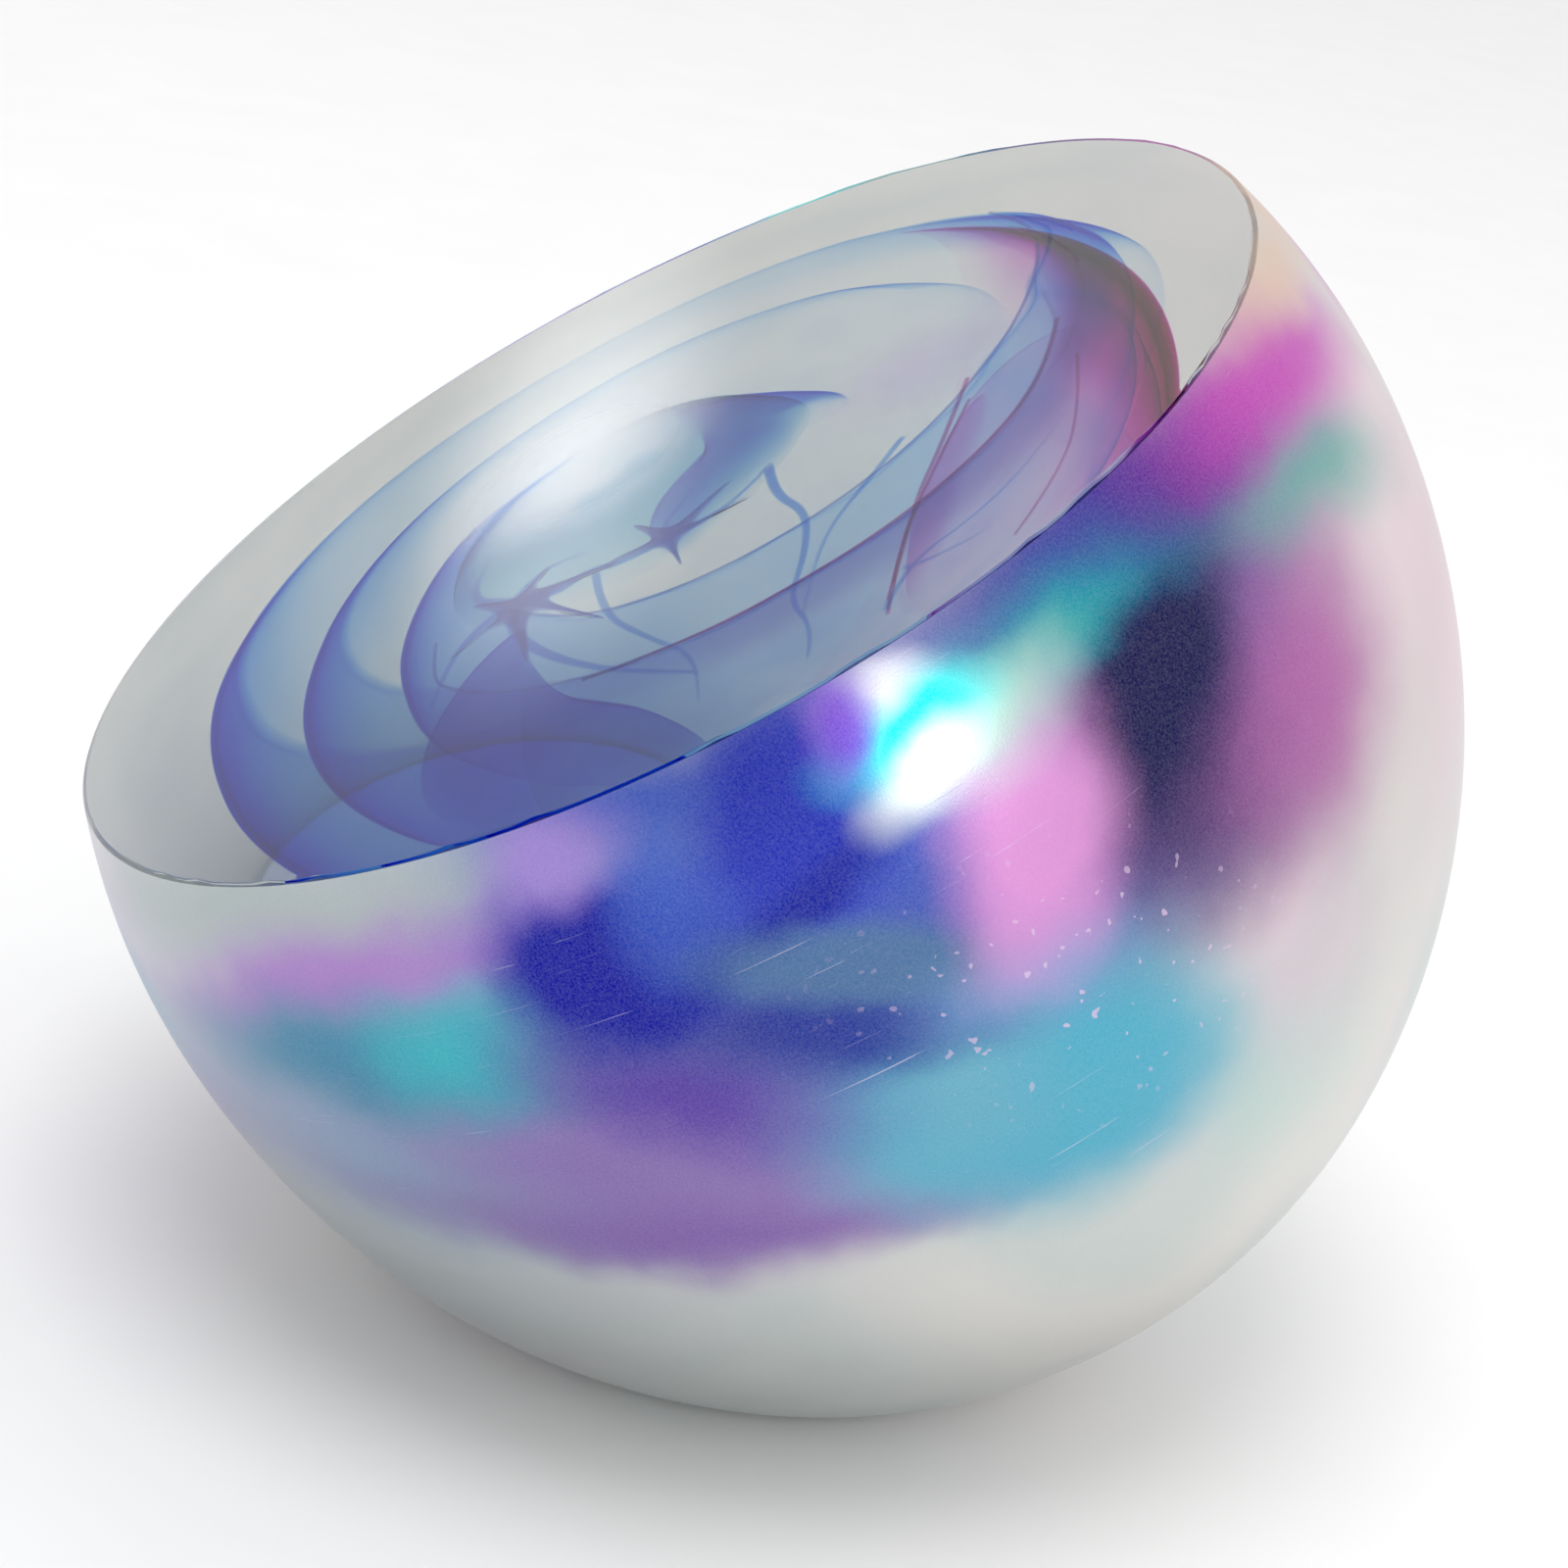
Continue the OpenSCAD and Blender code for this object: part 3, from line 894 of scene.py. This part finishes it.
def cap_veil(name, outline, middle, depth, drop, thick, material, ripple=0.45, rings=28, around=160):
    """A cap of glass under the facet: level in the middle, turned down steeply round its rim."""
    rim = round_curve(outline, around)
    bm = bmesh.new()
    layers = []
    for side in (1, -1):
        rows = []
        for k in range(rings + 1):
            t = k / rings
            row = []
            for i, edge in enumerate(rim):
                at = Vector(middle).lerp(edge, 1 - (1 - t) ** 1.6)
                sway = ripple * noise.noise(Vector((at.x * 0.3, at.y * 0.3, depth)))
                half = thick / 2 * (1 - 0.9 * t ** 4)
                place = on_facet(at.x, at.y, depth + drop * t ** 3 + sway * (1 - t * t) + 0.3 - side * half)
                row.append(bm.verts.new(place))
                if k == 0:
                    break
            rows.append(row)
        layers.append(rows)
    for s, rows in enumerate(layers):
        for k in range(rings):
            for i in range(around):
                j = (i + 1) % around
                c, d = rows[k + 1][i], rows[k + 1][j]
                quad = (rows[0][0], c, d) if k == 0 else (rows[k][i], c, d, rows[k][j])
                bm.faces.new(quad if s == 0 else tuple(reversed(quad)))
    for i in range(around):
        j = (i + 1) % around
        a, b = layers[0][rings], layers[1][rings]
        bm.faces.new((a[j], a[i], b[i], b[j]))
    return sheet_object(name, bm, material)


def sheet_object(name, bm, material):
    """The finished mesh of a sheet as an object with its glass."""
    bmesh.ops.recalc_face_normals(bm, faces=bm.faces)
    mesh = bpy.data.meshes.new(name)
    bm.to_mesh(mesh)
    bm.free()
    ob = bpy.data.objects.new(name, mesh)
    bpy.context.scene.collection.objects.link(ob)
    ob.data.materials.append(materials()[material])
    return ob


class GLASS_OT_heart(bpy.types.Operator):
    """Lay the aqua heart and its navy lobes just under the facet."""

    bl_idname = "paperweight.heart"
    bl_label = "Aqua heart"

    def execute(self, context):
        cap = [
            (-13, 2), (-11.5, 8), (-7, 12), (-1, 14), (4.4, 12.5), (8, 8), (9.5, 3), (5, -3), (-1, -6),
            (-6, -5), (-11, -3),
        ]
        ob = cap_veil("heart_cap_aqua", cap, (-2.5, 5), 1.4, 6.5, 0.9, "aqua")
        finish_piece(ob, ["heart_veil_aqua"])
        lobes = [
            (3, 12), (7, 9), (10.6, 3.6), (11.6, 0.8), (8.8, 0.6), (6.8, -2.0), (3.2, -4.4),
            (-0.4, -7), (-1.4, -2), (2.4, 1.6), (3.6, 6),
        ]
        ob = cap_veil("heart_cap_navy", lobes, (5.4, 2.6), 2.6, 4.4, 0.75, "navy")
        finish_piece(ob, ["heart_veil_navy"])
        return {"FINISHED"}


class GLASS_OT_petals(bpy.types.Operator):
    """Fold the loose petals of blue and rose that lie under the facet's near side, and lay two sheets of painted
    highlight, a white glow and a lilac glow, under the facet.
    """

    bl_idname = "paperweight.petals"
    bl_label = "Petals"

    def execute(self, context):
        blue = [
            (-9.8, -7.5), (-13.5, -10), (-16.6, -16), (-17, -23), (-13, -30), (-8, -32.5), (-3.6, -33),
            (-5, -26), (-8.6, -19), (-9.8, -13),
        ]
        ob = cap_veil("petal_blue", blue, (-11, -20), 2.2, 2.6, 0.9, "navy")
        finish_piece(ob, [])
        rose = [
            (7.4, -29), (10.2, -21), (14.2, -13), (17.6, -8.6), (21.6, -6.6), (24.2, -9), (23.4, -15),
            (20, -22), (15.4, -28), (11, -30.6),
        ]
        ob = cap_veil("petal_rose", rose, (17, -18), 2.0, 2.8, 0.16, "rose")
        finish_piece(ob, [])
        fold = [
            (8, -28), (9.6, -22), (12.4, -16), (15.6, -11), (17.4, -9.6), (16.4, -13), (13.4, -19),
            (10.4, -25),
        ]
        ob = cap_veil("petal_garnet", fold, (12.6, -18), 3.2, 1.6, 0.4, "rose")
        finish_piece(ob, [])
        knot = [(-13.8, -8.9), (-10.6, -7.0), (-11.6, -3.6), (-9.3, -5.6), (-7.0, -3.8), (-7.9, -6.1), (-3.4, -8.2),
                (-7.6, -7.9), (-5.4, -14.4), (-8.7, -8.8), (-9.9, -14.6), (-10.4, -8.2)]
        ob = cap_veil("petal_knot", knot, (-9.2, -7.1), 0.6, 0.5, 0.62, "ink", 0.1)
        finish_piece(ob, [])
        web = [(-4.4, -7.4), (-1.6, -7.5), (-2.0, -4.2), (0.0, -7.2), (3.8, -5.2), (0.9, -8.2), (4.2, -8.8), (0.0, -9.2),
               (-0.7, -12.6), (-1.3, -9.0)]
        ob = cap_veil("petal_web", web, (-0.6, -8.3), 1.0, 0.5, 0.55, "ink", 0.1)
        finish_piece(ob, [])
        # Painted highlight: a white glowing sheet under the facet's upper left.
        bloom = [(-15, 8.5), (-11, 16), (-3.5, 19), (4, 16), (8, 8.5), (4, 1), (-3.5, -2), (-11, 1)]
        ob = cap_veil("painted_white_glow_sheet", bloom, (-3.5, 8.5), 0.9, 0.3, 0.1, "milk", 0.1)
        finish_piece(ob, [])
        # Painted highlight: a lilac glowing sheet under the facet's right.
        mist = [(8, -1), (10, 5), (15.6, 7.4), (21, 5), (23, -1), (21, -7), (15.6, -9.4), (10, -7)]
        ob = cap_veil("painted_lilac_glow_sheet", mist, (15.6, -1), 5.0, 0.3, 0.1, "lilac", 0.1)
        finish_piece(ob, [])
        return {"FINISHED"}


def along_cut(stops, depth=0.3):
    """Places along a veil's cut edge, from its turn and radius on the facet."""
    return [(r * math.cos(math.radians(a)), r * math.sin(math.radians(a)), depth) for a, r in stops]


def draw_threads(name, runs, material, fade=0.0):
    """Thin wandering threads, thinner by fade towards their far end. A run is its thickness and the
    places that it passes."""
    made = []
    for thick, places in runs:
        curve = bpy.data.curves.new(name, "CURVE")
        curve.dimensions = "3D"
        curve.bevel_depth = thick / 2
        curve.bevel_resolution = 2
        curve.resolution_u = 10
        curve.use_fill_caps = True
        spline = curve.splines.new("NURBS")
        spline.points.add(len(places) - 1)
        for i, (point, place) in enumerate(zip(spline.points, places)):
            point.co = (*on_facet(*place), 1)
            point.radius = 1 - fade * i / (len(places) - 1)
        spline.order_u = 3
        spline.use_endpoint_u = True
        made.append(bpy.data.objects.new(name, curve))
        bpy.context.scene.collection.objects.link(made[-1])
    deselect()
    for ob in made:
        ob.select_set(True)
    bpy.context.view_layer.objects.active = made[0]
    bpy.ops.object.convert(target="MESH")
    bpy.ops.object.join()
    bpy.ops.object.mode_set(mode="EDIT")
    bpy.ops.mesh.select_all(action="SELECT")
    bpy.ops.mesh.remove_doubles(threshold=0.001)
    bpy.ops.mesh.normals_make_consistent(inside=False)
    bpy.ops.object.mode_set(mode="OBJECT")
    ob = bpy.context.object
    ob.name = ob.data.name = name
    ob.data.materials.clear()
    ob.data.materials.append(materials()[material])
    return ob


class GLASS_OT_threads(bpy.types.Operator):
    """Draw the folds, the dark knots' trailing lines and the fine threads."""

    bl_idname = "paperweight.threads"
    bl_label = "Threads"

    def execute(self, context):
        folds = [
            (1.0, [
                (-9.4, -6.4, 0.9), (-10.2, -9, 1.2), (-9.4, -13, 1.8), (-7.8, -17, 2.2),
                (-5.6, -21, 2.4), (-2.4, -25.6, 2.2),
            ]),
            (1.0, [
                (-9.4, -6.4, 0.8), (-7.4, -8.2, 0.9), (-5.2, -7.4, 1.0), (-3.5, -8.6, 1.2),
                (0.0, -8.6, 1.6), (3.4, -8.2, 2), (6.0, -5.6, 2),
            ]),
            (0.9, [(-9.4, -6.4, 0.7), (-11.6, -7.2, 0.7), (-14.0, -10.0, 0.8), (-15.4, -14.0, 1.2)]),
            (0.9, [(-9.4, -6.4, 0.7), (-11.0, -4.6, 0.7), (-11.4, -1.6, 0.8), (-9.8, 1.4, 1.0)]),
            (0.8, [(-9.4, -6.4, 0.7), (-8.0, -4.8, 0.7), (-6.4, -4.2, 0.8), (-4.8, -5.0, 1.0)]),
            (0.7, [(-0.4, -8.4, 1.6), (-0.9, -7.2, 1.5), (0.2, -5.6, 1.4), (1.8, -3.6, 1.6)]),
            (0.7, [
                (5.8, -5.6, 2.4), (5.2, -9.6, 2.4), (6.2, -14, 2.2), (5.0, -19, 2.0),
                (3.0, -23.6, 1.8), (3.4, -28, 1.6), (2.4, -31, 1.4),
            ]),
            (0.5, [
                (12.4, -11.6, 2.0), (9.8, -14.4, 2.0), (6.8, -17.5, 1.8), (4.6, -22, 1.8),
                (3.2, -26, 2.0),
            ]),
            (0.4, [
                (6.6, -31, 0.8), (8.6, -27.4, 0.8), (12.6, -26.4, 0.8), (16.2, -24, 0.8),
                (19.4, -20.4, 0.8),
            ]),
            (0.4, [(8.4, -27.6, 0.8), (10.4, -28.8, 0.8), (13.0, -28.4, 0.8)]),
            (0.6, [
                (-4.8, -7.6, 1.2), (-5.6, -13, 1.8), (-3.8, -19, 2.2), (-2.0, -24, 2.2),
                (-3.0, -29, 1.6),
            ]),
        ]
        finish_piece(draw_threads("blue_folds", folds, "navy", 0.7), [], 60)
        blue = []
        blue += [
            (0.30, along_cut([(218, 12.4), (227, 13.0), (240, 14.3), (252, 15.4), (264, 16.3), (277, 17.1), (291, 17.9),
                              (305, 18.7), (318, 19.4), (330, 20.2), (341, 21.4), (352, 22.8), (362, 24.4),
                              (374, 26.6), (386, 27.2)])),
            (0.26, along_cut([(205, 15.5), (215, 18.0), (222, 19.4), (235, 20.8), (247, 22.0), (258, 22.9)])),
        ]
        finish_piece(draw_threads("blue_filaments", blue, "ink"), ["blue_threads"], 60)
        rose = [
            (0.34, [(17, -9, 1.5), (14, -15, 1.4), (10.6, -21, 1.2), (7.0, -30, 1.0)]),
            (0.26, [(16.4, -11, 2.5), (12.0, -18.5, 2.0), (8.6, -25, 1.8), (6.6, -31.5, 0.9)]),
            (0.22, [(22, -14, 1.0), (20, -21, 0.9), (17, -27, 0.7), (13.5, -30.8, 0.6)]),
        ]
        rose += [
            (0.34, along_cut([(250, 22.3), (262, 23.0), (275, 23.5), (286, 24.0), (296, 24.4), (306, 24.7), (317, 24.8),
                              (328, 24.5), (339, 24.2)])),
        ]
        finish_piece(draw_threads("rose_filaments", rose, "garnet"), ["rose_threads"], 60)
        return {"FINISHED"}


# --------------------------------------------------------------------------------------
# Stage
# --------------------------------------------------------------------------------------


class StageSettings(bpy.types.PropertyGroup):
    """Camera and lights."""

    azimuth: bpy.props.FloatProperty(
        name="Azimuth", description="Camera's turn round the object", default=math.radians(74.6), subtype="ANGLE"
    )
    elevation: bpy.props.FloatProperty(
        name="Elevation", description="Camera's height above level", default=math.radians(20.1), subtype="ANGLE"
    )
    roll: bpy.props.FloatProperty(
        name="Roll", description="Camera's tilt", default=math.radians(9.73), subtype="ANGLE"
    )
    distance: bpy.props.FloatProperty(
        name="Distance", description="Camera to the middle of the glass", default=0.19, unit="LENGTH"
    )
    lens: bpy.props.FloatProperty(name="Lens", description="Focal length in mm", default=77.6)


def pointed(direction):
    return direction.to_track_quat("Z", "Y")


def area_light(name, azimuth, elevation, distance, size, power, colour=(1, 1, 1)):
    a, e = math.radians(azimuth), math.radians(elevation)
    back = Vector((math.sin(a) * math.cos(e), -math.cos(a) * math.cos(e), math.sin(e)))
    light = bpy.data.lights.new(name, "AREA")
    light.shape, light.size, light.energy, light.color = "DISK", size, power, colour
    ob = bpy.data.objects.new(name, light)
    ob.location = centre() * MM + back * distance
    ob.rotation_mode = "QUATERNION"
    ob.rotation_quaternion = pointed(back)
    bpy.context.scene.collection.objects.link(ob)
    return ob


class GLASS_OT_stage(bpy.types.Operator):
    """Set the floor, lights and camera."""

    bl_idname = "paperweight.stage"
    bl_label = "Stage"

    def execute(self, context):
        st = context.scene.glass_stage
        deselect()
        bpy.ops.mesh.primitive_circle_add(vertices=96, radius=3, fill_type="NGON", location=(0, 0, -0.0001))
        floor = bpy.context.object
        floor.name = "floor"
        mat, n, end = new_material("Pale floor")
        place = n.add("ShaderNodeTexCoord").outputs["Object"]
        colour = n.mix(n.noise(place, 60, 3).outputs[0], (0.86, 0.86, 0.86), (0.9, 0.9, 0.9))
        paper = n.add("ShaderNodeBsdfPrincipled", {"Base Color": colour, "Roughness": 0.9})
        n.put(end.inputs["Surface"], paper.outputs[0])
        floor.data.materials.append(mat)

        a, e = st.azimuth, st.elevation
        turn = Matrix.Rotation(a, 3, "Z") @ Matrix.Rotation(math.pi / 2 - e, 3, "X")
        turn = turn @ Matrix.Rotation(st.roll, 3, "Z")
        world = bpy.data.worlds.new("Soft room")
        world.use_nodes = True
        context.scene.world = world
        n = Nodes(world.node_tree)
        sky = world.node_tree.nodes["Background"]
        sky.inputs["Color"].default_value = (1, 1, 1, 1)
        look = n.add("ShaderNodeTexCoord").outputs["Generated"]
        toward = n.add("ShaderNodeVectorMath", {0: look, 1: (0.1, 0.85, 0.5)}, operation="DOT_PRODUCT")
        room = n.ramp(toward.outputs["Value"], -1.0, 1.0, True, 0.58, 1.05)
        eye = centre() * MM + turn @ Vector((0.00098, -0.00527, st.distance))
        seen = lean() @ on_facet(-3.5, 8.5) - eye
        flat = lean().to_3x3() @ Vector((0, 0, 1))
        flat.normalize()
        window = (seen - 2 * seen.dot(flat) * flat).normalized()
        level = window.cross(Vector((0, 0, 1))).normalized()
        aside = [
            n.add("ShaderNodeVectorMath", {0: look, 1: axis * scale}, operation="DOT_PRODUCT").outputs["Value"]
            for axis, scale in ((level, 10.5), (level.cross(window), 21.0))
        ]
        across, along = (n.math("MULTIPLY", side, side) for side in aside)
        apart = n.math("SQRT", n.math("ADD", across, along))
        facing = n.add("ShaderNodeVectorMath", {0: look, 1: window}, operation="DOT_PRODUCT").outputs["Value"]
        pane = n.math("MULTIPLY", n.ramp(apart, 1.0, 0.0), n.ramp(facing, 0.5, 0.8))
        n.put(sky.inputs["Strength"], n.math("ADD", room, n.math("MULTIPLY", pane, 1.7)))

        area_light("key", 101, 12, 0.6, 0.05, 0.22)
        area_light("overhead", 60, 70, 0.9, 0.5, 3.0)

        cam = bpy.data.objects.new("camera", bpy.data.cameras.new("camera"))
        cam.data.lens = st.lens
        cam.data.sensor_width = 36
        cam.data.clip_start = 0.01
        cam.rotation_mode = "QUATERNION"
        cam.rotation_quaternion = turn.to_quaternion()
        cam.location = centre() * MM + turn @ Vector((0.00098, -0.00527, st.distance))
        context.scene.collection.objects.link(cam)
        context.scene.camera = cam

        scene = context.scene
        scene.view_settings.view_transform = "Standard"
        scene.cycles.max_bounces = 16
        scene.cycles.diffuse_bounces = 6
        scene.cycles.transmission_bounces = 12
        scene.cycles.transparent_max_bounces = 64
        return {"FINISHED"}


class GLASS_PT_panel(bpy.types.Panel):
    """Lists the steps of building the paperweight."""

    bl_idname = "GLASS_PT_panel"
    bl_label = "Paperweight"
    bl_space_type = "VIEW_3D"
    bl_region_type = "UI"
    bl_category = "Paperweight"

    def draw(self, context):
        for step in STEPS:
            self.layout.operator(step.bl_idname)


GROUPS = (GlassSizes, GlassColours, StageSettings)
STEPS = (
    GLASS_OT_body,
    GLASS_OT_skin,
    GLASS_OT_outer_veil,
    GLASS_OT_middle_veil,
    GLASS_OT_inner_veil,
    GLASS_OT_heart,
    GLASS_OT_petals,
    GLASS_OT_threads,
    GLASS_OT_stage,
)


def register():
    for c in (*GROUPS, *STEPS, GLASS_PT_panel):
        bpy.utils.register_class(c)
    bpy.types.Scene.glass_sizes = bpy.props.PointerProperty(type=GlassSizes)
    bpy.types.Scene.glass_colours = bpy.props.PointerProperty(type=GlassColours)
    bpy.types.Scene.glass_stage = bpy.props.PointerProperty(type=StageSettings)


def unregister():
    del bpy.types.Scene.glass_stage
    del bpy.types.Scene.glass_colours
    del bpy.types.Scene.glass_sizes
    for c in reversed((*GROUPS, *STEPS, GLASS_PT_panel)):
        bpy.utils.unregister_class(c)


def main():
    register()
    for step in STEPS:
        area, name = step.bl_idname.split(".")
        getattr(getattr(bpy.ops, area), name)()


if __name__ == "__main__":
    main()
